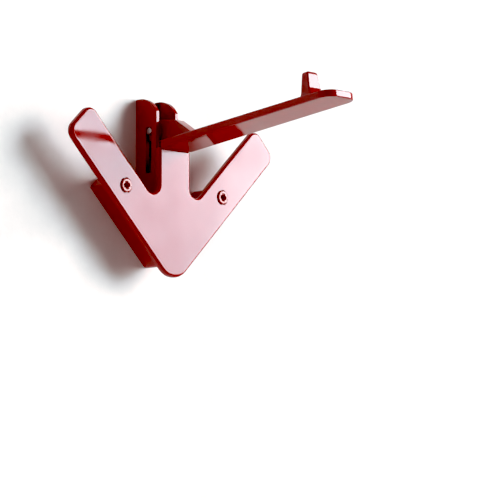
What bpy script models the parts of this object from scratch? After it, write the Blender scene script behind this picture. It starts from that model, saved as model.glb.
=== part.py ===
"""Fold-away coat hook: an arrow-head wall plate with a swing-out bar.

Frame: metres, +Z up, wall face at Y = 0, the room is towards -Y, and X = 0 is
the plane of symmetry. The origin lies on the wall face, level with the two
screws of the front plate. The bar is modelled swung out, ready for use.
"""
import math

import bmesh
import bpy
from mathutils import Matrix, Vector

for old in list(bpy.data.objects):
    bpy.data.objects.remove(old, do_unlink=True)

MM = 0.001
GAP = 0.3                    # clearance between touching pieces

# ---- driving dimensions, millimetres -------------------------------------
SCREW_X = 50.0               # plate screws at X = +-50, Z = 0
V_HALF_ANGLE = 45.0          # arm of the V against the vertical, degrees

PLATE_FRONT = -30.7          # front face of the arrow head
PLATE_BACK = -26.2
STROKE = 30.5                # width of the V arms
ARM_BEYOND_SCREW = 65.4      # from a screw to the square end of its V arm
TIP_R = 17.8                 # rounded point of the arrow head
OUTER_CORNER_R = 8.2
INNER_CORNER_R = 8.2
PRONG_HALF = 15.9            # middle prong, as wide as the bar
PRONG_TOP = 32.3
CROTCH_R = 6.8
PLATE_EDGE = 1.8             # broken edge all round the plate

RIB_WIDTH = 10.5             # V-shaped stand-off rib
RIB_BEYOND_SCREW = 6.0
RIB_TIP_R = 5.0
WEB = 5.0                    # back web between the two ribs
WEB_TOP = -14.3

CHEEK_OUT = 11.6             # slotted yoke
CHEEK_IN = 8.0
CHEEK_FRONT = -21.9
CHEEK_BOTTOM = -14.0
ARCH_Y, ARCH_Z, ARCH_R = -4.0, 51.2, 20.1
YOKE_WEB = 4.0
YOKE_WEB_TOP = 64.0
FOOT_BOTTOM = -31.0
FOOT_TOP = -8.0
FOOT = 4.0

PIN_Y, PIN_Z = -13.9, 46.1   # hinge axis with the bar swung out
PIN_R = 2.7
PIN_HALF = 11.5
SLOT_BOTTOM = 17.3           # lowest place of the axis, bar folded up
SLOT_R = PIN_R + GAP

# the bar, in its own frame: distance along it from the pin, height above the pin
BAR_RISE = 6.77              # degrees above level when swung out
BLADE_ROOT, BLADE_END = 15.2, 185.7
BLADE_LOW, BLADE_TOP = -17.06, -11.06      # at the root
BLADE_TAPER = 0.84           # thinner by this at the free end
BLADE_HALF = 15.86
BLADE_END_R = 10.0
BLADE_EDGE = 1.0
BARREL_HALF, BARREL_R = 7.6, 7.6
HUB_HALF = 4.6

HEAD_R, HEAD_H = 5.3, 1.0    # low head of a plate screw
SHANK_R = 1.95
SCREW_LENGTH = 16.0
INSERT_R, INSERT_BORE, INSERT_LENGTH = 2.9, 2.25, 9.0
WALL_SCREW_R = 2.6           # holes for the wall screws
WALL_SCREW_HEAD_R = 5.0
UPPER_HOLE_Z, LOWER_HOLE_Z = 30.8, -23.0

A = math.radians(V_HALF_ANGLE)
ALONG = Vector((math.sin(A), math.cos(A)))       # up the right-hand V arm
OUT = Vector((math.cos(A), -math.sin(A)))        # across it, to the outside


# ---- helpers --------------------------------------------------------------
def material(name, colour, roughness, metallic=0.0):
    mat = bpy.data.materials.new(name)
    mat.use_nodes = True
    shader = mat.node_tree.nodes["Principled BSDF"]
    shader.inputs["Base Color"].default_value = (*colour, 1.0)
    shader.inputs["Roughness"].default_value = roughness
    shader.inputs["Metallic"].default_value = metallic
    return mat


def rounded(corners, step=14.0):
    """Closed outline from (x, y, radius) corners, each fillet as an arc."""
    points = []
    count = len(corners)
    for i, (x, y, r) in enumerate(corners):
        here = Vector((x, y))
        if r <= 0.0:
            points.append(here)
            continue
        before = (Vector(corners[i - 1][:2]) - here).normalized()
        after = (Vector(corners[(i + 1) % count][:2]) - here).normalized()
        inner = math.acos(max(-1.0, min(1.0, before.dot(after))))
        centre = here + (before + after).normalized() * (r / math.sin(inner / 2))
        reach = r / math.tan(inner / 2)
        start = here + before * reach - centre
        stop = here + after * reach - centre
        turn = math.atan2(start.x * stop.y - start.y * stop.x, start.dot(stop))
        steps = max(2, math.ceil(abs(math.degrees(turn)) / step))
        for k in range(steps + 1):
            a = turn * k / steps
            points.append(centre + Vector((start.x * math.cos(a) - start.y * math.sin(a),
                                           start.x * math.sin(a) + start.y * math.cos(a))))
    return points


PLANES = {
    "XZ": lambda u, v, w: (u, w, v),      # outline in XZ, extruded along Y
    "YZ": lambda u, v, w: (w, u, v),      # outline in YZ, extruded along X
    "XY": lambda u, v, w: (u, v, w),      # outline in XY, extruded along Z
}


def finish(bm, name, mat, pivot=None, guide=False):
    """Turn a bmesh in millimetres into a named object in metres."""
    bmesh.ops.recalc_face_normals(bm, faces=bm.faces)
    mesh = bpy.data.meshes.new(name)
    bm.to_mesh(mesh)
    bm.free()
    mesh.transform(Matrix.Scale(MM, 4))
    obj = bpy.data.objects.new(name, mesh)
    bpy.context.scene.collection.objects.link(obj)
    if pivot is not None:
        at = Vector(pivot) * MM
        mesh.transform(Matrix.Translation(-at))
        obj.location = at
    if guide:
        obj.hide_render = True
        obj.display_type = "WIRE"
    else:
        mesh.materials.append(mat)
        mesh.shade_smooth()
        mesh.set_sharp_from_angle(angle=math.radians(32))
    return obj


def prism_bm(points, low, high, plane):
    bm = bmesh.new()
    place = PLANES[plane]
    base = [bm.verts.new(place(p[0], p[1], low)) for p in points]
    face = bm.faces.new(base)
    made = bmesh.ops.extrude_face_region(bm, geom=[face])
    tops = [v for v in made["geom"] if isinstance(v, bmesh.types.BMVert)]
    shift = Vector(place(0, 0, high)) - Vector(place(0, 0, low))
    bmesh.ops.translate(bm, verts=tops, vec=shift)
    bmesh.ops.recalc_face_normals(bm, faces=bm.faces)
    return bm


def lathe_bm(profile, sides, origin, axis):
    """Closed turned body from (radius, height) points; heights run along axis."""
    bm = bmesh.new()
    rings = []
    for r, h in profile:
        if r <= 0.0:
            rings.append([bm.verts.new((0, 0, h))])
        else:
            rings.append([bm.verts.new((r * math.cos(2 * math.pi * k / sides),
                                        r * math.sin(2 * math.pi * k / sides), h))
                          for k in range(sides)])
    for a, b in zip(rings, rings[1:]):
        for k in range(sides):
            n = (k + 1) % sides
            if len(a) == 1:
                bm.faces.new((a[0], b[n], b[k]))
            elif len(b) == 1:
                bm.faces.new((a[k], a[n], b[0]))
            else:
                bm.faces.new((a[k], a[n], b[n], b[k]))
    bm.transform(Vector((0, 0, 1)).rotation_difference(Vector(axis)).to_matrix().to_4x4())
    bmesh.ops.translate(bm, verts=bm.verts, vec=Vector(origin))
    return bm


def break_edges(bm, width, segments=2, limit=40.0):
    sharp = [e for e in bm.edges
             if len(e.link_faces) == 2 and e.calc_face_angle() > math.radians(limit)]
    bmesh.ops.bevel(bm, geom=sharp, offset=width, segments=segments,
                    affect="EDGES", profile=0.5, clamp_overlap=True)


def boolean(obj, other, operation):
    mod = obj.modifiers.new(other.name, "BOOLEAN")
    mod.operation = operation
    mod.solver = "EXACT"
    mod.object = other


def cut_hole(obj, name, radius, origin, axis, length, sides=24):
    bm = lathe_bm([(0, 0), (radius, 0), (radius, length), (0, length)], sides, origin, axis)
    boolean(obj, finish(bm, name, None, guide=True), "DIFFERENCE")


def on_arm(along, across, side=1):
    """A point of the front view, measured from a plate screw along its V arm."""
    p = Vector((SCREW_X, 0.0)) + ALONG * along + OUT * across
    return Vector((side * p.x, p.y))


def on_axis(across):
    """Where the line at this offset from the arm's middle meets X = 0."""
    p = on_arm(0, across)
    return p.y - p.x * ALONG.y / ALONG.x


RED = (0.42, 0.008, 0.014)

# ---- front plate ----------------------------------------------------------
half = STROKE / 2
outer = on_arm(ARM_BEYOND_SCREW, half)
inner = on_arm(ARM_BEYOND_SCREW, -half)
crotch_z = on_axis(-half) + PRONG_HALF * ALONG.y / ALONG.x
plate_outline = rounded([
    (0.0, on_axis(half), TIP_R),
    (outer.x, outer.y, OUTER_CORNER_R),
    (inner.x, inner.y, INNER_CORNER_R),
    (PRONG_HALF, crotch_z, CROTCH_R),
    (PRONG_HALF, PRONG_TOP, 2.0),
    (-PRONG_HALF, PRONG_TOP, 2.0),
    (-PRONG_HALF, crotch_z, CROTCH_R),
    (-inner.x, inner.y, INNER_CORNER_R),
    (-outer.x, outer.y, OUTER_CORNER_R),
], step=12.0)
bm = prism_bm(plate_outline, PLATE_FRONT, PLATE_BACK, "XZ")
break_edges(bm, PLATE_EDGE)
front_plate = finish(bm, "front_plate", material("red_gloss_plate", RED, 0.16))
for side, word in ((-1, "left"), (1, "right")):
    cut_hole(front_plate, f"plate_hole_{word}", SHANK_R + GAP,
             (side * SCREW_X, PLATE_FRONT - 1, 0), (0, 1, 0), 8.0, 20)

# ---- V-shaped wall base ---------------------------------------------------
r = RIB_WIDTH / 2
oe, ie = on_arm(RIB_BEYOND_SCREW, r), on_arm(RIB_BEYOND_SCREW, -r)
rib_outline = rounded([
    (0.0, on_axis(r), RIB_TIP_R),
    (oe.x, oe.y, 1.2), (ie.x, ie.y, 1.2),
    (0.0, on_axis(-r), 3.0),
    (-ie.x, ie.y, 1.2), (-oe.x, oe.y, 1.2),
], step=15.0)
rib_front = PLATE_BACK + GAP
bm = prism_bm(rib_outline, rib_front, 0.0, "XZ")
wall_base = finish(bm, "wall_base", material("red_gloss_base", RED, 0.2))
web_half = (WEB_TOP - on_axis(0)) * ALONG.x / ALONG.y
web = prism_bm([(0.0, on_axis(0) + 1.0), (web_half, WEB_TOP), (-web_half, WEB_TOP)],
               -WEB, 0.0, "XZ")
boolean(wall_base, finish(web, "base_web", None, guide=True), "UNION")
for side, word in ((-1, "left"), (1, "right")):
    cut_hole(wall_base, f"insert_hole_{word}", INSERT_R + GAP,
             (side * SCREW_X, rib_front - 1, 0), (0, 1, 0), 16.0, 20)
cut_hole(wall_base, "lower_wall_hole_base", WALL_SCREW_R,
         (0, 1, LOWER_HOLE_Z), (0, -1, 0), WEB + 2, 20)

# ---- slotted yoke ---------------------------------------------------------
foot_back = -WEB - GAP
yoke_web = prism_bm([(0.0, CHEEK_BOTTOM), (foot_back, CHEEK_BOTTOM), (foot_back, FOOT_BOTTOM),
                     (foot_back - FOOT, FOOT_BOTTOM), (foot_back - FOOT, FOOT_TOP),
                     (-YOKE_WEB, FOOT_TOP), (-YOKE_WEB, YOKE_WEB_TOP), (0.0, YOKE_WEB_TOP)],
                    -CHEEK_OUT + 1.0, CHEEK_OUT - 1.0, "YZ")
hinge_bracket = finish(yoke_web, "hinge_bracket", material("red_gloss_yoke", RED, 0.2))

arch_end = math.asin((ARCH_Y - CHEEK_FRONT) / ARCH_R)
cheek_outline = [(0.0, CHEEK_BOTTOM), (0.0, ARCH_Z + ARCH_R)]
for k in range(9):
    a = arch_end * k / 8
    cheek_outline.append((ARCH_Y - ARCH_R * math.sin(a), ARCH_Z + ARCH_R * math.cos(a)))
cheek_outline += [(CHEEK_FRONT, CHEEK_BOTTOM + 6.0)]
cheek_outline += [(CHEEK_FRONT + 6.0, CHEEK_BOTTOM)]
for side, word in ((-1, "left"), (1, "right")):
    low, high = sorted((side * CHEEK_IN, side * CHEEK_OUT))
    bm = prism_bm(cheek_outline, low, high, "YZ")
    boolean(hinge_bracket, finish(bm, f"cheek_{word}", None, guide=True), "UNION")

slot = []
for k in range(9):
    a = math.pi * k / 8
    slot.append((PIN_Y + SLOT_R * math.cos(a), PIN_Z + SLOT_R * math.sin(a)))
for k in range(9):
    a = math.pi + math.pi * k / 8
    slot.append((PIN_Y + SLOT_R * math.cos(a), SLOT_BOTTOM + SLOT_R * math.sin(a)))
bm = prism_bm(slot, -CHEEK_OUT - 2, CHEEK_OUT + 2, "YZ")
boolean(hinge_bracket, finish(bm, "pin_slot", None, guide=True), "DIFFERENCE")
for z, depth, word in ((UPPER_HOLE_Z, YOKE_WEB, "upper"), (LOWER_HOLE_Z, WEB + GAP + FOOT, "lower")):
    front = -depth
    bm = lathe_bm([(0, -1.0), (WALL_SCREW_HEAD_R + 0.8, -1.0), (WALL_SCREW_HEAD_R - 0.2, 0.0),
                   (WALL_SCREW_R, WALL_SCREW_HEAD_R - 0.2 - WALL_SCREW_R),
                   (WALL_SCREW_R, depth + 1.0), (0, depth + 1.0)], 20, (0, front, z), (0, 1, 0))
    boolean(hinge_bracket, finish(bm, f"{word}_wall_hole", None, guide=True), "DIFFERENCE")

# ---- swing-out bar --------------------------------------------------------
pivot = (0.0, PIN_Y, PIN_Z)


def bar_frame(points):
    return [(PIN_Y - along, PIN_Z + up) for along, up in points]


def tilt(bm):
    bmesh.ops.rotate(bm, verts=bm.verts, cent=Vector(pivot),
                     matrix=Matrix.Rotation(-math.radians(BAR_RISE), 3, "X"))
    return bm


blade_outline = rounded([
    (-BLADE_HALF, PIN_Y - BLADE_ROOT, 1.5), (BLADE_HALF, PIN_Y - BLADE_ROOT, 1.5),
    (BLADE_HALF, PIN_Y - BLADE_END, BLADE_END_R), (-BLADE_HALF, PIN_Y - BLADE_END, BLADE_END_R),
], step=13.0)
bm = prism_bm(blade_outline, PIN_Z + BLADE_LOW, PIN_Z + BLADE_TOP, "XY")
break_edges(bm, BLADE_EDGE)
for v in bm.verts:
    if v.co.z > PIN_Z + BLADE_LOW + 2.5:
        v.co.z -= BLADE_TAPER * (PIN_Y - BLADE_ROOT - v.co.y) / (BLADE_END - BLADE_ROOT)
arm = finish(tilt(bm), "arm", material("red_gloss_arm", RED, 0.16), pivot)

hub_outline = bar_frame([
    (-3.0, 6.4), (8.1, 7.6), (22.3, 4.3), (41.8, -11.7), (46.0, -13.4),
    (16.6, -13.4), (16.6, -8.6), (-3.0, -5.6),           # relief that passes over the prong
])
bm = prism_bm(hub_outline, -HUB_HALF, HUB_HALF, "YZ")
boolean(arm, finish(tilt(bm), "arm_hub", None, guide=True), "UNION")
bm = lathe_bm([(0, -BARREL_HALF), (BARREL_R - 0.6, -BARREL_HALF), (BARREL_R, -BARREL_HALF + 0.6),
               (BARREL_R, BARREL_HALF - 0.6), (BARREL_R - 0.6, BARREL_HALF), (0, BARREL_HALF)],
              32, (0, PIN_Y, PIN_Z), (1, 0, 0))
boolean(arm, finish(bm, "arm_barrel", None, guide=True), "UNION")

# end stop: rounded rectangles of half width, back, front and height
stop_rings = []
for half_x, back, front, up in ((8.85, 148.7, 166.5, -12.4), (8.08, 149.47, 164.5, -11.24), (7.3, 150.23, 162.4, -9.74),
                                (6.75, 150.78, 160.9, -7.74), (6.35, 151.2, 159.8, -4.74), (5.75, 151.8, 159.1, 1.26),
                                (5.2, 152.3, 158.65, 6.56), (4.55, 152.8, 158.1, 8.1), (3.3, 153.8, 157.1, 8.8)):
    ring = rounded([(-half_x, PIN_Y - back, 1.2), (half_x, PIN_Y - back, 1.2),
                    (half_x, PIN_Y - front, 1.2), (-half_x, PIN_Y - front, 1.2)], step=45.0)
    stop_rings.append((ring, PIN_Z + up))
bm = bmesh.new()
loops = [[bm.verts.new((p.x, p.y, z)) for p in ring] for ring, z in stop_rings]
for a, b in zip(loops, loops[1:]):
    for k in range(len(a)):
        n = (k + 1) % len(a)
        bm.faces.new((a[k], a[n], b[n], b[k]))
bm.faces.new(loops[0])
bm.faces.new(loops[-1])
boolean(arm, finish(tilt(bm), "end_stop", None, guide=True), "UNION")
cut_hole(arm, "pin_bore", PIN_R + GAP, (-BARREL_HALF - 2, PIN_Y, PIN_Z), (1, 0, 0), 2 * BARREL_HALF + 4, 24)

# ---- hinge pin ------------------------------------------------------------
bm = lathe_bm([(0, -PIN_HALF), (PIN_R - 0.5, -PIN_HALF), (PIN_R, -PIN_HALF + 0.5),
               (PIN_R, PIN_HALF - 0.5), (PIN_R - 0.5, PIN_HALF), (0, PIN_HALF)],
              24, (0, PIN_Y, PIN_Z), (1, 0, 0))
finish(bm, "hinge_pin", material("steel_pin", (0.62, 0.62, 0.6), 0.3, 1.0), pivot)

# ---- plate screws and the inserts they bite into --------------------------
screw_paint = material("red_lacquer_screw", RED, 0.25)
brass = material("brass_insert", (0.72, 0.5, 0.18), 0.35, 1.0)
under_head = PLATE_FRONT - GAP / 2
for side, word in ((-1, "left"), (1, "right")):
    dome = [(HEAD_R, 0.0), (HEAD_R, -0.45)]
    for k in range(1, 5):
        a = math.pi / 2 * k / 5
        dome.append((HEAD_R - 1.6 * (1 - math.cos(a)), -0.45 - (HEAD_H - 0.45) * math.sin(a)))
    dome += [(HEAD_R - 1.8, -HEAD_H), (0.0, -HEAD_H)]
    profile = [(0.0, SCREW_LENGTH), (SHANK_R - 0.6, SCREW_LENGTH), (SHANK_R, SCREW_LENGTH - 1.0),
               (SHANK_R, 0.0)] + dome
    bm = lathe_bm(profile, 28, (side * SCREW_X, under_head, 0), (0, 1, 0))
    screw = finish(bm, f"plate_screw_{word}", screw_paint)
    s, w = 2.7, 0.9
    plus = [(w, -s), (w, -w), (s, -w), (s, w), (w, w), (w, s),
            (-w, s), (-w, w), (-s, w), (-s, -w), (-w, -w), (-w, -s)]
    plus = [(side * SCREW_X + x, z) for x, z in plus]
    bm = prism_bm(plus, under_head - HEAD_H - 1.0, under_head - HEAD_H + 0.7, "XZ")
    boolean(screw, finish(bm, f"cross_recess_{word}", None, guide=True), "DIFFERENCE")

    o, b, length = INSERT_R, INSERT_BORE, INSERT_LENGTH
    ring = [(b, 0.0), (o, 0.0), (o, 0.4 * length), (o - 0.35, 0.44 * length), (o - 0.35, 0.56 * length),
            (o, 0.6 * length), (o, length), (b, length), (b, 0.0)]
    bm = lathe_bm(ring, 20, (side * SCREW_X, rib_front + GAP, 0), (0, 1, 0))
    bmesh.ops.remove_doubles(bm, verts=bm.verts, dist=0.0001)
    finish(bm, f"thread_insert_{word}", brass)
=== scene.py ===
"""Looks of the fold-away coat hook: gloss red mouldings, steel pin, lacquered screws."""
import math

import bmesh
import bpy
from mathutils import Matrix, Vector


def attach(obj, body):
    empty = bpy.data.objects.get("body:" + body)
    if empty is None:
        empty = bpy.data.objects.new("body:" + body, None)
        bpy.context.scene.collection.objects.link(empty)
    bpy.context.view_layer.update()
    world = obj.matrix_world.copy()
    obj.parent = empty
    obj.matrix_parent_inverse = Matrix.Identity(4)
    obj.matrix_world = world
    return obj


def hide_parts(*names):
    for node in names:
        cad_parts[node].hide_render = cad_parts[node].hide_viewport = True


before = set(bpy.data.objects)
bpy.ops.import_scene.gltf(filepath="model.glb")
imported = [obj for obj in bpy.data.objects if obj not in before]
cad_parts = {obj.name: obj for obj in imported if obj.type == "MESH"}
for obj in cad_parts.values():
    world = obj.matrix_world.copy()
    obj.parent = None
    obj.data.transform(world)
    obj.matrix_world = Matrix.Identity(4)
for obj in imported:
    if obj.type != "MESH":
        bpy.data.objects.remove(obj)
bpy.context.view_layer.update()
scene = bpy.context.scene

MM = 0.001

# ---- dimensions of the pieces, millimetres (the same as the CAD) -----------
SCREW_X = 50.0
A = math.radians(45.0)
ALONG = Vector((math.sin(A), math.cos(A)))
OUT = Vector((math.cos(A), -math.sin(A)))
PLATE_FRONT, PLATE_BACK = -30.7, -26.2
STROKE, ARM_BEYOND_SCREW = 30.5, 65.4
PRONG_HALF, PRONG_TOP = 15.9, 32.3
RIB_WIDTH, RIB_BEYOND_SCREW = 10.5, 6.0
CHEEK_OUT, CHEEK_IN, CHEEK_FRONT, CHEEK_BOTTOM = 11.6, 8.0, -21.9, -14.0
ARCH_Y, ARCH_Z, ARCH_R = -4.0, 51.2, 20.1
PIN_Y, PIN_Z, PIN_R, PIN_HALF = -13.9, 46.1, 2.7, 11.5
SLOT_BOTTOM, SLOT_R = 17.3, 3.0
# the bar, in its own frame: distance along it from the pin, height above the pin
BAR_RISE = math.radians(6.77)
BLADE_ROOT, BLADE_END = 15.2, 185.7
BLADE_LOW, BLADE_TOP, BLADE_TAPER = -17.06, -11.06, 0.84
BLADE_HALF = 15.86
HUB_HALF = 4.6
BARREL_HALF, BARREL_R = 7.6, 7.6


# ---- mesh helpers ----------------------------------------------------------
def rounded(corners, step=4.0, fixed=0):
    """Closed outline from (x, y, radius) corners, each fillet as an arc."""
    points = []
    count = len(corners)
    for i, (x, y, r) in enumerate(corners):
        here = Vector((x, y))
        if r <= 0.0:
            points.append(here)
            continue
        before = (Vector(corners[i - 1][:2]) - here).normalized()
        after = (Vector(corners[(i + 1) % count][:2]) - here).normalized()
        inner = math.acos(max(-1.0, min(1.0, before.dot(after))))
        centre = here + (before + after).normalized() * (r / math.sin(inner / 2))
        reach = r / math.tan(inner / 2)
        start = here + before * reach - centre
        stop = here + after * reach - centre
        turn = math.atan2(start.x * stop.y - start.y * stop.x, start.dot(stop))
        steps = fixed or max(3, math.ceil(abs(math.degrees(turn)) / step))
        for k in range(steps + 1):
            a = turn * k / steps
            points.append(centre + Vector((start.x * math.cos(a) - start.y * math.sin(a),
                                           start.x * math.sin(a) + start.y * math.cos(a))))
    return points


def circle(x, y, r, sides=48):
    return [Vector((x + r * math.cos(2 * math.pi * k / sides), y + r * math.sin(2 * math.pi * k / sides)))
            for k in range(sides)]


def area(points):
    return 0.5 * sum(a.x * b.y - b.x * a.y for a, b in zip(points, points[1:] + points[:1]))


def inset(points, amount):
    """The outline moved to its left by amount (inwards for a counter-clockwise one)."""
    moved = []
    count = len(points)
    for i, p in enumerate(points):
        a = (p - points[i - 1]).normalized()
        b = (points[(i + 1) % count] - p).normalized()
        na, nb = Vector((-a.y, a.x)), Vector((-b.y, b.x))
        n = na + nb
        moved.append(p + n * (amount / max(0.25, 0.5 * n.length_squared)))
    return moved


PLANES = {
    "XZ": lambda u, v, w: (u, w, v),
    "YZ": lambda u, v, w: (w, u, v),
    "XY": lambda u, v, w: (u, v, w),
}


def slab_bm(outline, low, high, plane, edge_low=0.6, edge_high=0.6, holes=(), hole_edge=0.3, seg=5):
    """A flat piece with rounded rims: outline, thickness from low to high, holes right through."""
    bm = bmesh.new()
    place = PLANES[plane]

    def wall(points, e_low, e_high):
        if len(points) != len(set((round(p.x, 5), round(p.y, 5)) for p in points)):
            clean = []
            for p in points:
                if not clean or (p - clean[-1]).length > 1e-4:
                    clean.append(p)
            if (clean[0] - clean[-1]).length <= 1e-4:
                clean.pop()
            points = clean
        steps = []
        for k in range(seg + 1):
            a = math.pi / 2 * k / seg
            steps.append((e_low * (1 - math.sin(a)), low + e_low * (1 - math.cos(a))))
        for k in range(seg + 1):
            a = math.pi / 2 * k / seg
            steps.append((e_high * (1 - math.cos(a)), high - e_high * (1 - math.sin(a))))
        rings = []
        for off, w in steps:
            moved = inset(points, off) if off > 1e-6 else points
            rings.append([bm.verts.new(place(p.x, p.y, w)) for p in moved])
        for a, b in zip(rings, rings[1:]):
            for k in range(len(a)):
                n = (k + 1) % len(a)
                bm.faces.new((a[k], a[n], b[n], b[k]))
        return rings[0], rings[-1]

    if area(outline) < 0:
        outline = outline[::-1]
    first, last = [], []
    f, l = wall(outline, edge_low, edge_high)
    first.append(f)
    last.append(l)
    for hole in holes:
        if area(hole) > 0:
            hole = hole[::-1]
        f, l = wall(hole, hole_edge, hole_edge)
        first.append(f)
        last.append(l)
    for group in (first, last):
        edges = []
        for ring in group:
            for k in range(len(ring)):
                edge = bm.edges.get((ring[k], ring[(k + 1) % len(ring)]))
                edges.append(edge)
        bmesh.ops.triangle_fill(bm, use_beauty=True, use_dissolve=False, edges=edges)
    bmesh.ops.recalc_face_normals(bm, faces=bm.faces)
    return bm


def prism_bm(points, low, high, plane):
    bm = bmesh.new()
    place = PLANES[plane]
    base = [bm.verts.new(place(p[0], p[1], low)) for p in points]
    face = bm.faces.new(base)
    made = bmesh.ops.extrude_face_region(bm, geom=[face])
    tops = [v for v in made["geom"] if isinstance(v, bmesh.types.BMVert)]
    bmesh.ops.translate(bm, verts=tops, vec=Vector(place(0, 0, high)) - Vector(place(0, 0, low)))
    bmesh.ops.recalc_face_normals(bm, faces=bm.faces)
    return bm


def lathe_bm(profile, sides, origin, axis):
    bm = bmesh.new()
    rings = []
    for r, h in profile:
        if r <= 0.0:
            rings.append([bm.verts.new((0, 0, h))])
        else:
            rings.append([bm.verts.new((r * math.cos(2 * math.pi * k / sides),
                                        r * math.sin(2 * math.pi * k / sides), h)) for k in range(sides)])
    for a, b in zip(rings, rings[1:]):
        for k in range(sides):
            n = (k + 1) % sides
            if len(a) == 1:
                bm.faces.new((a[0], b[n], b[k]))
            elif len(b) == 1:
                bm.faces.new((a[k], a[n], b[0]))
            else:
                bm.faces.new((a[k], a[n], b[n], b[k]))
    bm.transform(Vector((0, 0, 1)).rotation_difference(Vector(axis)).to_matrix().to_4x4())
    bmesh.ops.translate(bm, verts=bm.verts, vec=Vector(origin))
    bmesh.ops.recalc_face_normals(bm, faces=bm.faces)
    return bm


def loft_bm(rings):
    """Closed body through rings of points (equal counts), flat at both ends."""
    bm = bmesh.new()
    loops = [[bm.verts.new(p) for p in ring] for ring in rings]
    for a, b in zip(loops, loops[1:]):
        for k in range(len(a)):
            n = (k + 1) % len(a)
            bm.faces.new((a[k], a[n], b[n], b[k]))
    bm.faces.new(loops[0])
    bm.faces.new(loops[-1])
    bmesh.ops.recalc_face_normals(bm, faces=bm.faces)
    return bm


def to_object(bm, name):
    mesh = bpy.data.meshes.new(name)
    bm.to_mesh(mesh)
    bm.free()
    mesh.transform(Matrix.Scale(MM, 4))
    obj = bpy.data.objects.new(name, mesh)
    scene.collection.objects.link(obj)
    return obj


def combine(obj, steps):
    """Joins or cuts other bodies into obj, then keeps only the finished mesh."""
    tools = []
    for other, operation in steps:
        tool = to_object(other, obj.name + "_tool")
        mod = obj.modifiers.new("shape", "BOOLEAN")
        mod.operation = operation
        mod.solver = "EXACT"
        mod.object = tool
        tools.append(tool)
    bpy.context.view_layer.update()
    graph = bpy.context.evaluated_depsgraph_get()
    mesh = bpy.data.meshes.new_from_object(obj.evaluated_get(graph))
    obj.modifiers.clear()
    old = obj.data
    obj.data = mesh
    mesh.name = obj.name
    bpy.data.meshes.remove(old)
    for tool in tools:
        data = tool.data
        bpy.data.objects.remove(tool, do_unlink=True)
        bpy.data.meshes.remove(data)
    return obj


def piece(obj, body, node, mat, sharp=34.0, weighted=True):
    """Shades a finished mesh and puts it in the place of its CAD node."""
    mesh = obj.data
    bm = bmesh.new()
    bm.from_mesh(mesh)
    bmesh.ops.remove_doubles(bm, verts=bm.verts, dist=2e-6)
    bmesh.ops.dissolve_degenerate(bm, edges=bm.edges, dist=1e-6)
    bm.to_mesh(mesh)
    bm.free()
    mesh.materials.clear()
    mesh.materials.append(mat)
    mesh.shade_smooth()
    mesh.set_sharp_from_angle(angle=math.radians(sharp))
    if weighted:
        mod = obj.modifiers.new("even_normals", "WEIGHTED_NORMAL")
        mod.mode = "FACE_AREA"
        mod.weight = 90
        mod.keep_sharp = True
    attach(obj, body)
    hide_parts(node)
    return obj


# ---- materials -------------------------------------------------------------
def new_material(name):
    mat = bpy.data.materials.new(name)
    mat.use_nodes = True
    tree = mat.node_tree
    shader = tree.nodes["Principled BSDF"]
    coords = tree.nodes.new("ShaderNodeTexCoord")
    return mat, tree, shader, coords


def noise(tree, coords, scale, detail=2.0, rough=0.5, offset=(0, 0, 0)):
    mapping = tree.nodes.new("ShaderNodeMapping")
    mapping.inputs["Location"].default_value = offset
    tree.links.new(coords.outputs["Object"], mapping.inputs["Vector"])
    node = tree.nodes.new("ShaderNodeTexNoise")
    node.inputs["Scale"].default_value = scale
    node.inputs["Detail"].default_value = detail
    node.inputs["Roughness"].default_value = rough
    tree.links.new(mapping.outputs["Vector"], node.inputs["Vector"])
    return node.outputs["Fac"]


def map_range(tree, value, low, high, from_low=0.3, from_high=0.7):
    node = tree.nodes.new("ShaderNodeMapRange")
    node.inputs["From Min"].default_value = from_low
    node.inputs["From Max"].default_value = from_high
    node.inputs["To Min"].default_value = low
    node.inputs["To Max"].default_value = high
    tree.links.new(value, node.inputs["Value"])
    return node.outputs["Result"]


def blend_colours(tree, value, dark, light):
    node = tree.nodes.new("ShaderNodeValToRGB")
    node.color_ramp.elements[0].position = 0.3
    node.color_ramp.elements[0].color = (*dark, 1)
    node.color_ramp.elements[1].position = 0.7
    node.color_ramp.elements[1].color = (*light, 1)
    tree.links.new(value, node.inputs["Fac"])
    return node.outputs["Color"]


def bump(tree, height, strength, distance, normal=None):
    node = tree.nodes.new("ShaderNodeBump")
    node.inputs["Strength"].default_value = strength
    node.inputs["Distance"].default_value = distance
    tree.links.new(height, node.inputs["Height"])
    if normal is not None:
        tree.links.new(normal, node.inputs["Normal"])
    return node.outputs["Normal"]


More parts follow.
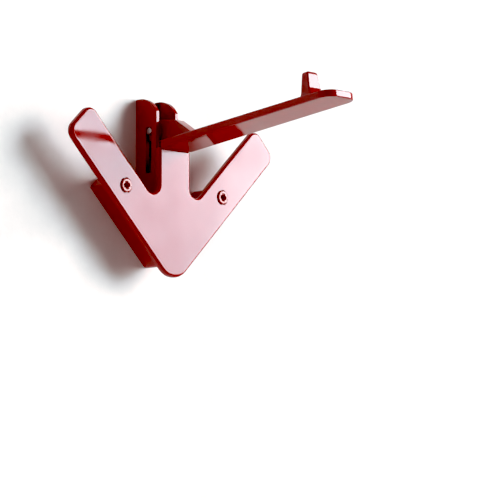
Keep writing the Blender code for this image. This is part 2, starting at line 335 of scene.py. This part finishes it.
def red_plastic(name, offset, dull_back=False):
    """Injection-moulded gloss plastic: even colour, faint flow clouds, slight waviness.

    dull_back leaves the face deep between the cheeks and the walls of the slots as they come
    from the mould, dark and unpolished.
    """
    mat, tree, shader, coords = new_material(name)
    clouds = noise(tree, coords, 16.0, 3.0, 0.5, offset)
    colour = blend_colours(tree, clouds, (0.245, 0.0026, 0.0042), (0.28, 0.0033, 0.0056))
    smears = noise(tree, coords, 55.0, 5.0, 0.62, offset)
    gloss = map_range(tree, smears, 0.055, 0.12)
    if dull_back:
        split = tree.nodes.new("ShaderNodeSeparateXYZ")
        tree.links.new(coords.outputs["Object"], split.inputs["Vector"])
        across = tree.nodes.new("ShaderNodeMath")
        across.operation = "ABSOLUTE"
        tree.links.new(split.outputs["X"], across.inputs[0])
        deep = tree.nodes.new("ShaderNodeMath")
        deep.operation = "MULTIPLY"
        tree.links.new(map_range(tree, split.outputs["Y"], 0.0, 1.0, -0.0075, -0.005), deep.inputs[0])
        tree.links.new(map_range(tree, across.outputs["Value"], 1.0, 0.0, 0.0083, 0.0092), deep.inputs[1])
        off_pin = tree.nodes.new("ShaderNodeMath")
        off_pin.operation = "COMPARE"
        off_pin.inputs[1].default_value = PIN_Y * MM
        off_pin.inputs[2].default_value = (SLOT_R + 0.15) * MM
        tree.links.new(split.outputs["Y"], off_pin.inputs[0])
        on_slot = tree.nodes.new("ShaderNodeMath")
        on_slot.operation = "COMPARE"
        on_slot.inputs[1].default_value = (PIN_Z + SLOT_BOTTOM) / 2 * MM
        on_slot.inputs[2].default_value = ((PIN_Z - SLOT_BOTTOM) / 2 + SLOT_R + 0.15) * MM
        tree.links.new(split.outputs["Z"], on_slot.inputs[0])
        slot = tree.nodes.new("ShaderNodeMath")
        slot.operation = "MULTIPLY"
        tree.links.new(off_pin.outputs["Value"], slot.inputs[0])
        tree.links.new(on_slot.outputs["Value"], slot.inputs[1])
        inside = tree.nodes.new("ShaderNodeMath")
        inside.operation = "MAXIMUM"
        tree.links.new(deep.outputs["Value"], inside.inputs[0])
        tree.links.new(map_range(tree, slot.outputs["Value"], 0.0, 0.8, 0.0, 1.0), inside.inputs[1])
        total = tree.nodes.new("ShaderNodeMath")
        total.operation = "MULTIPLY_ADD"
        total.inputs[1].default_value = 0.55
        tree.links.new(inside.outputs["Value"], total.inputs[0])
        tree.links.new(gloss, total.inputs[2])
        gloss = total.outputs["Value"]
        dim = tree.nodes.new("ShaderNodeVectorMath")
        dim.operation = "SCALE"
        tree.links.new(colour, dim.inputs[0])
        tree.links.new(map_range(tree, inside.outputs["Value"], 1.0, 0.12, 0.0, 1.0), dim.inputs["Scale"])
        colour = dim.outputs["Vector"]
        tree.links.new(map_range(tree, inside.outputs["Value"], 0.5, 0.1, 0.0, 1.0), shader.inputs["Specular IOR Level"])
    tree.links.new(colour, shader.inputs["Base Color"])
    tree.links.new(gloss, shader.inputs["Roughness"])
    waves = noise(tree, coords, 26.0, 1.0, 0.4, offset)
    peel = noise(tree, coords, 900.0, 1.0, 0.5, offset)
    normal = bump(tree, waves, 0.35, 0.0006)
    normal = bump(tree, peel, 0.12, 0.00002, normal)
    tree.links.new(normal, shader.inputs["Normal"])
    shader.inputs["IOR"].default_value = 1.5
    shader.inputs["Specular Tint"].default_value = (0.74, 0.93, 1.0, 1.0)
    return mat


def red_lacquer(name):
    """Thick gloss lacquer on steel, a little lumpy, with bare metal only deep in the noise."""
    mat, tree, shader, coords = new_material(name)
    clouds = noise(tree, coords, 180.0, 3.0)
    tree.links.new(blend_colours(tree, clouds, (0.2, 0.003, 0.0045), (0.26, 0.0042, 0.007)),
                   shader.inputs["Base Color"])
    tree.links.new(map_range(tree, noise(tree, coords, 400.0, 4.0), 0.12, 0.24), shader.inputs["Roughness"])
    tree.links.new(bump(tree, noise(tree, coords, 700.0, 2.0), 0.3, 0.00005), shader.inputs["Normal"])
    return mat


def steel(name):
    """Ground steel: fine rings round the pin's axis and soft smudges."""
    mat, tree, shader, coords = new_material(name)
    wave = tree.nodes.new("ShaderNodeTexWave")
    wave.wave_type = "RINGS"
    wave.rings_direction = "X"
    wave.inputs["Scale"].default_value = 900.0
    wave.inputs["Distortion"].default_value = 1.5
    tree.links.new(coords.outputs["Object"], wave.inputs["Vector"])
    clouds = noise(tree, coords, 300.0, 4.0)
    tree.links.new(blend_colours(tree, clouds, (0.34, 0.37, 0.385), (0.48, 0.51, 0.53)), shader.inputs["Base Color"])
    tree.links.new(map_range(tree, clouds, 0.22, 0.38), shader.inputs["Roughness"])
    tree.links.new(bump(tree, wave.outputs["Fac"], 0.15, 0.00002), shader.inputs["Normal"])
    shader.inputs["Metallic"].default_value = 1.0
    return mat


def brass(name):
    mat, tree, shader, coords = new_material(name)
    clouds = noise(tree, coords, 350.0, 4.0)
    tree.links.new(blend_colours(tree, clouds, (0.55, 0.36, 0.11), (0.74, 0.52, 0.2)), shader.inputs["Base Color"])
    tree.links.new(map_range(tree, clouds, 0.25, 0.42), shader.inputs["Roughness"])
    shader.inputs["Metallic"].default_value = 1.0
    return mat


# ---- front plate -----------------------------------------------------------
def on_arm(along, across):
    return Vector((SCREW_X, 0.0)) + ALONG * along + OUT * across


def on_axis(across):
    p = on_arm(0, across)
    return p.y - p.x * ALONG.y / ALONG.x


half = STROKE / 2
outer, inner = on_arm(ARM_BEYOND_SCREW, half), on_arm(ARM_BEYOND_SCREW, -half)
crotch = on_axis(-half) + PRONG_HALF * ALONG.y / ALONG.x
plate_outline = rounded([
    (0.0, on_axis(half), 17.8),
    (outer.x, outer.y, 8.2), (inner.x, inner.y, 8.2),
    (PRONG_HALF, crotch, 6.8), (PRONG_HALF, PRONG_TOP, 2.0),
    (-PRONG_HALF, PRONG_TOP, 2.0), (-PRONG_HALF, crotch, 6.8),
    (-inner.x, inner.y, 8.2), (-outer.x, outer.y, 8.2),
], step=3.0)
plate_bm = slab_bm(plate_outline, PLATE_FRONT, PLATE_BACK, "XZ", 2.2, 0.5,
                   [circle(-SCREW_X, 0, 2.25), circle(SCREW_X, 0, 2.25)], 0.3, 8)
# the moulding has set a little: the ends of the V arms lean forward by about a millimetre
LEAN_FROM, LEAN_TO, LEAN = 19.0, 31.0, 0.036
for k in range(36):
    bmesh.ops.bisect_plane(plate_bm, geom=plate_bm.verts[:] + plate_bm.edges[:] + plate_bm.faces[:],
                           plane_co=(0, 0, LEAN_FROM + 1.5 * k), plane_no=(0, 0, 1), dist=1e-4)
for vert in plate_bm.verts:
    if abs(vert.co.x) > 25.0 and vert.co.z > LEAN_FROM:
        bent = min(vert.co.z, LEAN_TO) - LEAN_FROM
        vert.co.y -= 0.5 * LEAN * bent * bent / (LEAN_TO - LEAN_FROM) + LEAN * max(0.0, vert.co.z - LEAN_TO)
plate = to_object(plate_bm, "front_plate_shell")
# a narrow moat round each screw head
combine(plate, [(lathe_bm([(5.1, -1.0), (5.85, -1.0), (5.85, 0.7), (5.1, 0.7), (5.1, -1.0)], 72,
                          (side * SCREW_X, PLATE_FRONT, 0), (0, 1, 0)), "DIFFERENCE") for side in (-1, 1)])
piece(plate, "wall_unit", "front_plate", red_plastic("plate_red_gloss", (0, 0, 0)))

# ---- V-shaped base ---------------------------------------------------------
r = RIB_WIDTH / 2
oe, ie = on_arm(RIB_BEYOND_SCREW, r), on_arm(RIB_BEYOND_SCREW, -r)
rib_outline = rounded([
    (0.0, on_axis(r), 5.0), (oe.x, oe.y, 1.2), (ie.x, ie.y, 1.2),
    (0.0, on_axis(-r), 3.0), (-ie.x, ie.y, 1.2), (-oe.x, oe.y, 1.2),
], step=5.0)
rib_front = PLATE_BACK + 0.3
base = to_object(slab_bm(rib_outline, rib_front, 0.0, "XZ", 0.5, 0.4,
                         seg=4), "wall_base_shell")
web_half = (-14.3 - on_axis(0)) * ALONG.x / ALONG.y
tools = [(prism_bm([(0.0, on_axis(0) + 1.0), (web_half, -14.3), (-web_half, -14.3)], -5.0, 0.0, "XZ"), "UNION")]
for side in (-1, 1):
    tools.append((lathe_bm([(0, -1), (3.2, -1), (3.2, 15), (0, 15)], 40,
                           (side * SCREW_X, rib_front, 0), (0, 1, 0)), "DIFFERENCE"))
tools.append((lathe_bm([(0, -1), (2.6, -1), (2.6, 6), (0, 6)], 40, (0, -5.0, -23.0), (0, 1, 0)), "DIFFERENCE"))
combine(base, tools)
piece(base, "wall_unit", "wall_base", red_plastic("base_red_gloss", (3.1, 0, 1.7)))

# ---- slotted yoke ----------------------------------------------------------
foot_back = -5.3
yoke = to_object(prism_bm([(0.0, CHEEK_BOTTOM), (foot_back, CHEEK_BOTTOM), (foot_back, -31.0),
                           (foot_back - 4.0, -31.0), (foot_back - 4.0, -8.0), (-4.0, -8.0),
                           (-4.0, 64.0), (0.0, 64.0)], -CHEEK_OUT + 1.0, CHEEK_OUT - 1.0, "YZ"),
                 "hinge_bracket_shell")
arch_end = math.asin((ARCH_Y - CHEEK_FRONT) / ARCH_R)
cheek_outline = [Vector((0.0, CHEEK_BOTTOM)), Vector((0.0, ARCH_Z + ARCH_R))]
for k in range(25):
    a = arch_end * k / 24
    cheek_outline.append(Vector((ARCH_Y - ARCH_R * math.sin(a), ARCH_Z + ARCH_R * math.cos(a))))
cheek_outline += [Vector((CHEEK_FRONT, CHEEK_BOTTOM + 6.0)), Vector((CHEEK_FRONT + 6.0, CHEEK_BOTTOM))]
slot = []
for k in range(25):
    a = math.pi * k / 24
    slot.append(Vector((PIN_Y + SLOT_R * math.cos(a), PIN_Z + SLOT_R * math.sin(a))))
for k in range(25):
    a = math.pi + math.pi * k / 24
    slot.append(Vector((PIN_Y + SLOT_R * math.cos(a), SLOT_BOTTOM + SLOT_R * math.sin(a))))
tools = []
for side in (-1, 1):
    low, high = sorted((side * CHEEK_IN, side * CHEEK_OUT))
    tools.append((slab_bm(cheek_outline, low, high, "YZ", 0.5, 0.5, [slot], 0.3, 4), "UNION"))
for z, depth in ((30.8, 4.0), (-23.0, 9.3)):
    tools.append((lathe_bm([(0, -1.0), (5.8, -1.0), (4.8, 0.0), (2.6, 2.2), (2.6, depth + 1.0), (0, depth + 1.0)],
                           40, (0, -depth, z), (0, 1, 0)), "DIFFERENCE"))
combine(yoke, tools)
piece(yoke, "wall_unit", "hinge_bracket", red_plastic("yoke_red_gloss", (1.3, 2.2, 0.4), True))

# ---- swing-out bar ---------------------------------------------------------
def tilt(bm):
    """From the bar's own level frame to its place, swung out and rising a little."""
    bmesh.ops.rotate(bm, verts=bm.verts, cent=Vector((0.0, PIN_Y, PIN_Z)), matrix=Matrix.Rotation(-BAR_RISE, 3, "X"))
    return bm


blade_outline = rounded([
    (-BLADE_HALF, PIN_Y - BLADE_ROOT, 1.5), (BLADE_HALF, PIN_Y - BLADE_ROOT, 1.5),
    (BLADE_HALF, PIN_Y - BLADE_END, 10.0), (-BLADE_HALF, PIN_Y - BLADE_END, 10.0),
], step=3.0)
blade = slab_bm(blade_outline, PIN_Z + BLADE_LOW, PIN_Z + BLADE_TOP, "XY", 0.8, 0.8, seg=6)
for v in blade.verts:
    if v.co.z > PIN_Z + BLADE_LOW + 2.5:
        v.co.z -= BLADE_TAPER * (PIN_Y - BLADE_ROOT - v.co.y) / (BLADE_END - BLADE_ROOT)
bar = to_object(tilt(blade), "arm_shell")
hub_outline = [Vector((PIN_Y - along, PIN_Z + up)) for along, up in (
    (-3.0, 6.4), (8.1, 7.6), (22.3, 4.3), (41.8, -11.7), (46.0, -13.4), (16.6, -13.4), (16.6, -8.6), (-3.0, -5.6))]
hub = tilt(slab_bm(hub_outline, -HUB_HALF, HUB_HALF, "YZ", 0.5, 0.5, seg=4))
profile = [(0, -BARREL_HALF), (BARREL_R - 0.6, -BARREL_HALF), (BARREL_R - 0.18, -BARREL_HALF + 0.18),
           (BARREL_R, -BARREL_HALF + 0.6), (BARREL_R, BARREL_HALF - 0.6),
           (BARREL_R - 0.18, BARREL_HALF - 0.18), (BARREL_R - 0.6, BARREL_HALF), (0, BARREL_HALF)]
barrel = lathe_bm(profile, 72, (0, PIN_Y, PIN_Z), (1, 0, 0))
bore = lathe_bm([(0, -BARREL_HALF - 2), (PIN_R + 0.3, -BARREL_HALF - 2), (PIN_R + 0.3, BARREL_HALF + 2),
                 (0, BARREL_HALF + 2)], 56, (0, PIN_Y, PIN_Z), (1, 0, 0))

stop_rings = []
levels = 44


def fillet(height, radius):
    return radius - math.sqrt(radius ** 2 - (radius - min(radius, max(height, 0.0))) ** 2)


foot, seat, top = -11.95, -11.74, 8.8
for k in range(levels + 1):
    up = foot + (top - foot) * k / levels
    height = up - seat
    crown = min(1.0, max(0.0, (up - 6.6) / 2.2))
    tuck = 1.0 - math.sqrt(1.0 - crown ** 2)
    half_x = 7.05 - 0.1 * height + 0.3 * fillet(height, 6.0) - 1.9 * tuck
    back = 150.5 + 0.097 * height - 0.3 * fillet(height, 6.0) + 1.5 * tuck
    front = 160.3 - 0.09 * height + 0.75 * fillet(height, 8.5) - 1.5 * tuck
    ring = rounded([(-half_x, PIN_Y - back, 1.1), (half_x, PIN_Y - back, 1.1),
                    (half_x, PIN_Y - front, 0.8), (-half_x, PIN_Y - front, 0.8)], fixed=6)
    stop_rings.append([(p.x, p.y, PIN_Z + up) for p in ring])
stop = tilt(loft_bm(stop_rings))
combine(bar, [(hub, "UNION"), (barrel, "UNION"), (stop, "UNION"), (bore, "DIFFERENCE")])
piece(bar, "swing_arm", "arm", red_plastic("arm_red_gloss", (0.7, 5.0, 2.9)))

# ---- hinge pin -------------------------------------------------------------
profile = [(0, -PIN_HALF)]
for k in range(5):
    a = math.pi / 2 * k / 4
    profile.append((PIN_R - 0.5 + 0.5 * math.sin(a), -PIN_HALF + 0.5 - 0.5 * math.cos(a)))
for k in range(5):
    a = math.pi / 2 * k / 4
    profile.append((PIN_R - 0.5 + 0.5 * math.cos(a), PIN_HALF - 0.5 + 0.5 * math.sin(a)))
profile.append((0, PIN_HALF))
pin = to_object(lathe_bm(profile, 64, (0, PIN_Y, PIN_Z), (1, 0, 0)), "hinge_pin_ground")
piece(pin, "pin_carrier", "hinge_pin", steel("pin_ground_steel"))

# ---- plate screws and inserts ----------------------------------------------
lacquer = red_lacquer("screw_red_lacquer")
insert_brass = brass("insert_turned_brass")
under = PLATE_FRONT - 0.15
for side, word in ((-1, "left"), (1, "right")):
    head_r, head_h, shank, length = 5.3, 1.0, 1.95, 16.0
    dome = [(head_r - 0.15, 0.0), (head_r, -0.15), (head_r, -0.45)]
    for k in range(1, 13):
        a = math.pi / 2 * k / 12
        dome.append((head_r - 1.4 * (1 - math.cos(a)), -0.45 - (head_h - 0.45) * math.sin(a)))
    dome += [(1.5, -head_h), (0.0, -head_h)]
    thread = [(0.0, length), (0.9, length - 0.1), (1.5, length - 0.9)]
    pitch, h = 0.7, length - 1.0
    while h > 7.5:
        thread += [(shank, h), (shank, h - 0.08), (shank - 0.38, h - pitch * 0.5), (shank - 0.38, h - pitch * 0.6)]
        h -= pitch
    thread += [(shank, 7.0), (shank, 0.0)]
    screw = to_object(lathe_bm(thread + dome, 56, (side * SCREW_X, under, 0), (0, 1, 0)), f"plate_screw_{word}_lacquered")
    turn = math.radians(12.0 if side < 0 else -7.0)
    rings = []
    for y, s, w in ((under - head_h - 0.6, 3.3, 1.5), (under - head_h, 3.05, 1.35),
                    (under - head_h + 0.9, 1.9, 0.8), (under - head_h + 3.2, 1.2, 0.5)):
        plus = [(w, -s), (w * 1.25, -w * 1.25), (s, -w), (s, w), (w * 1.25, w * 1.25), (w, s),
                (-w, s), (-w * 1.25, w * 1.25), (-s, w), (-s, -w), (-w * 1.25, -w * 1.25), (-w, -s)]
        rings.append([(side * SCREW_X + x * math.cos(turn) - z * math.sin(turn), y,
                       x * math.sin(turn) + z * math.cos(turn)) for x, z in plus])
    combine(screw, [(loft_bm(rings), "DIFFERENCE")])
    piece(screw, "wall_unit", f"plate_screw_{word}", lacquer)

    o, b, length = 2.9, 2.25, 9.0
    bm = bmesh.new()
    sides = 72
    rows = []
    for height, knurl, radius in ((0, 0, b), (0, 0, o - 0.3), (0.3, 1, o), (3.6, 1, o), (3.9, 0, o - 0.4), (5.1, 0, o - 0.4),
                                  (5.4, 1, o), (8.7, 1, o), (9.0, 0, o - 0.3), (9.0, 0, b)):
        rows.append([bm.verts.new((side * SCREW_X + (radius - 0.18 * knurl * (k % 2)) * math.cos(2 * math.pi * k / sides),
                                   rib_front + 0.3 + height,
                                   (radius - 0.18 * knurl * (k % 2)) * math.sin(2 * math.pi * k / sides)))
                     for k in range(sides)])
    for p, q in zip(rows, rows[1:] + rows[:1]):
        for k in range(sides):
            n = (k + 1) % sides
            bm.faces.new((p[k], p[n], q[n], q[k]))
    bmesh.ops.recalc_face_normals(bm, faces=bm.faces)
    insert = to_object(bm, f"thread_insert_{word}_knurled")
    piece(insert, "wall_unit", f"thread_insert_{word}", insert_brass, weighted=False)

# ---- stage: wall, floor and studio light -----------------------------------
def sheet(name, corners, mat):
    mesh = bpy.data.meshes.new(name)
    mesh.from_pydata(corners, [], [tuple(range(len(corners)))])
    obj = bpy.data.objects.new(name, mesh)
    scene.collection.objects.link(obj)
    mesh.materials.append(mat)
    return obj


def plaster(name, one_sided):
    mat, tree, shader, coords = new_material(name)
    grain = noise(tree, coords, 38.0, 6.0, 0.6)
    colour = blend_colours(tree, grain, (0.81, 0.805, 0.8), (0.86, 0.855, 0.85))
    if one_sided:
        split = tree.nodes.new("ShaderNodeSeparateXYZ")
        tree.links.new(coords.outputs["Object"], split.inputs["Vector"])
        fade = tree.nodes.new("ShaderNodeVectorMath")
        fade.operation = "SCALE"
        tree.links.new(colour, fade.inputs[0])
        tree.links.new(map_range(tree, split.outputs["X"], 1.0, 0.86, 0.0, 0.06), fade.inputs["Scale"])
        colour = fade.outputs["Vector"]
    tree.links.new(colour, shader.inputs["Base Color"])
    shader.inputs["Roughness"].default_value = 0.9
    shader.inputs["Specular IOR Level"].default_value = 0.1
    tree.links.new(bump(tree, grain, 0.25, 0.002), shader.inputs["Normal"])
    if one_sided:
        geometry = tree.nodes.new("ShaderNodeNewGeometry")
        clear = tree.nodes.new("ShaderNodeBsdfTransparent")
        mix = tree.nodes.new("ShaderNodeMixShader")
        tree.links.new(geometry.outputs["Backfacing"], mix.inputs["Fac"])
        tree.links.new(shader.outputs["BSDF"], mix.inputs[1])
        tree.links.new(clear.outputs["BSDF"], mix.inputs[2])
        tree.links.new(mix.outputs["Shader"], tree.nodes["Material Output"].inputs["Surface"])
    return mat


WALL_Y = 0.0004


def wall_sheet(name, hole, mat):
    """The wall, open where the hook's back lies on it, so that the back is lit too."""
    bm = bmesh.new()
    edges = []
    for ring in ([(-3, -2.3), (3, -2.3), (3, 2), (-3, 2)], [(x * MM, z * MM) for x, z in hole]):
        verts = [bm.verts.new((x, WALL_Y, z)) for x, z in ring]
        edges += [bm.edges.new((verts[k], verts[(k + 1) % len(verts)])) for k in range(len(verts))]
    bmesh.ops.triangle_fill(bm, use_beauty=True, use_dissolve=False, edges=edges)
    bm.normal_update()
    for face in bm.faces:
        if face.normal.y > 0:
            face.normal_flip()
    mesh = bpy.data.meshes.new(name)
    bm.to_mesh(mesh)
    bm.free()
    mesh.materials.append(mat)
    obj = bpy.data.objects.new(name, mesh)
    scene.collection.objects.link(obj)


behind = r - 0.6
rib_end = [on_arm(RIB_BEYOND_SCREW - 0.6, behind), on_arm(RIB_BEYOND_SCREW - 0.6, -behind)]
web_z = -14.9
web_x = SCREW_X - behind * math.sqrt(2) + web_z
right = [(rib_end[0].x, rib_end[0].y), (rib_end[1].x, rib_end[1].y), (web_x, web_z), (11.0, web_z), (11.0, 63.4)]
wall_sheet("wall", [(0.0, on_axis(behind) + 2.8)] + right + [(-x, z) for x, z in reversed(right)],
           plaster("wall_plaster", True))

drill_dark, tree, shader, coords = new_material("drill_dark")
tree.links.new(blend_colours(tree, noise(tree, coords, 300.0), (0.006, 0.005, 0.005), (0.012, 0.011, 0.010)),
               shader.inputs["Base Color"])
shader.inputs["Roughness"].default_value = 0.9
shader.inputs["Specular IOR Level"].default_value = 0.1
for word, z in (("upper", 30.8), ("lower", -23.0)):
    sheet(f"wall_hole_{word}", [(p[0] * MM, WALL_Y, p[1] * MM) for p in circle(0.0, z, 3.1, 24)], drill_dark)
sheet("floor", [(-3, -4, -2.3), (3, -4, -2.3), (3, 3, -2.3), (-3, 3, -2.3)], plaster("floor_pale", False))


def softbox(name, centre, target, width, height, strength, glow_at=None, camera=False):
    """A glowing panel that faces target; glow_at gives its brightness across and up the panel."""
    centre, target = Vector(centre), Vector(target)
    look = (target - centre).normalized()
    right = look.cross(Vector((0, 0, 1))).normalized()
    up = right.cross(look).normalized()
    mesh = bpy.data.meshes.new(name)
    n = 40
    verts, faces = [], []
    for j in range(n + 1):
        for i in range(n + 1):
            verts.append(centre + right * width * (i / n - 0.5) + up * height * (j / n - 0.5))
    for j in range(n):
        for i in range(n):
            a = j * (n + 1) + i
            faces.append((a, a + 1, a + n + 2, a + n + 1))
    mesh.from_pydata(verts, [], faces)
    glow = mesh.color_attributes.new("glow", "FLOAT_COLOR", "POINT")
    for j in range(n + 1):
        for i in range(n + 1):
            u, v = i / n, j / n
            f = glow_at(u, v) if glow_at else 1.0
            glow.data[j * (n + 1) + i].color = (f, f, f, 1)
    obj = bpy.data.objects.new(name, mesh)
    scene.collection.objects.link(obj)
    mat = bpy.data.materials.new(name)
    mat.use_nodes = True
    tree = mat.node_tree
    tree.nodes.remove(tree.nodes["Principled BSDF"])
    emit = tree.nodes.new("ShaderNodeEmission")
    emit.inputs["Color"].default_value = (1.0, 0.985, 0.98, 1)
    attr = tree.nodes.new("ShaderNodeAttribute")
    attr.attribute_name = "glow"
    times = tree.nodes.new("ShaderNodeMath")
    times.operation = "MULTIPLY"
    times.inputs[1].default_value = strength
    tree.links.new(attr.outputs["Fac"], times.inputs[0])
    tree.links.new(times.outputs["Value"], emit.inputs["Strength"])
    tree.links.new(emit.outputs["Emission"], tree.nodes["Material Output"].inputs["Surface"])
    mesh.materials.append(mat)
    obj.visible_camera = camera
    return obj


def key_glow(u, v):
    """Even on the left, brighter towards the lamp behind the upper right of the cloth."""
    slope = 4.1 if u > 0.392 else 0.8
    lift = 10.0 * max(0.0, 0.38 - v) * min(1.0, max(0.0, (0.332 - u) / 0.012)) + 7.0 * max(0.0, u - 0.455)
    glow = 1.0 + 1.7 * (v - 0.344) + slope * (u - 0.392) + lift
    return min(1.5 - 0.4 * max(0.0, v - 0.43), max(0.5, glow))


softbox("key_softbox", (2.38, -2.18, 0.68), (0, -0.04, 0), 2.1, 2.0, 11.8, key_glow)
softbox("left_fill", (-2.8, -0.62, 0.5), (0, -0.03, 0.02), 1.0, 2.2, 1.2)
softbox("back_fill", (0.9, 2.4, 0.9), (0, 0, 0), 1.6, 1.6, 10.0)

world = bpy.data.worlds.new("studio")
scene.world = world
world.use_nodes = True
background = world.node_tree.nodes["Background"]
background.inputs["Color"].default_value = (1.0, 1.0, 1.0, 1)
background.inputs["Strength"].default_value = 0.18

# ---- camera ----------------------------------------------------------------
camera = bpy.data.cameras.new("camera")
camera.sensor_width = 36.0
camera.lens = 180.0
camera.clip_start, camera.clip_end = 0.01, 50
camera_object = bpy.data.objects.new("camera", camera)
scene.collection.objects.link(camera_object)
camera_object.location = (-1.28701, -1.35872, -0.23975)
camera_object.rotation_euler = (math.radians(96.05), 0.0, math.radians(-45.83))
scene.camera = camera_object
scene.view_settings.view_transform = "Standard"
scene.view_settings.look = "None"
scene.view_settings.use_curve_mapping = True
tone = scene.view_settings.curve_mapping
tone.black_level = (0.012, 0.046, 0.054)
for x, y in ((0.15, 0.122), (0.27, 0.224), (0.45, 0.415), (0.62, 0.608)):
    tone.curves[1].points.new(x, y)
for x, y in ((0.15, 0.122), (0.27, 0.224), (0.45, 0.425), (0.62, 0.632)):
    tone.curves[2].points.new(x, y)
for x, y in ((0.12, 0.125), (0.26, 0.243), (0.45, 0.405), (0.65, 0.607), (0.88, 0.845)):
    tone.curves[0].points.new(x, y)
tone.update()
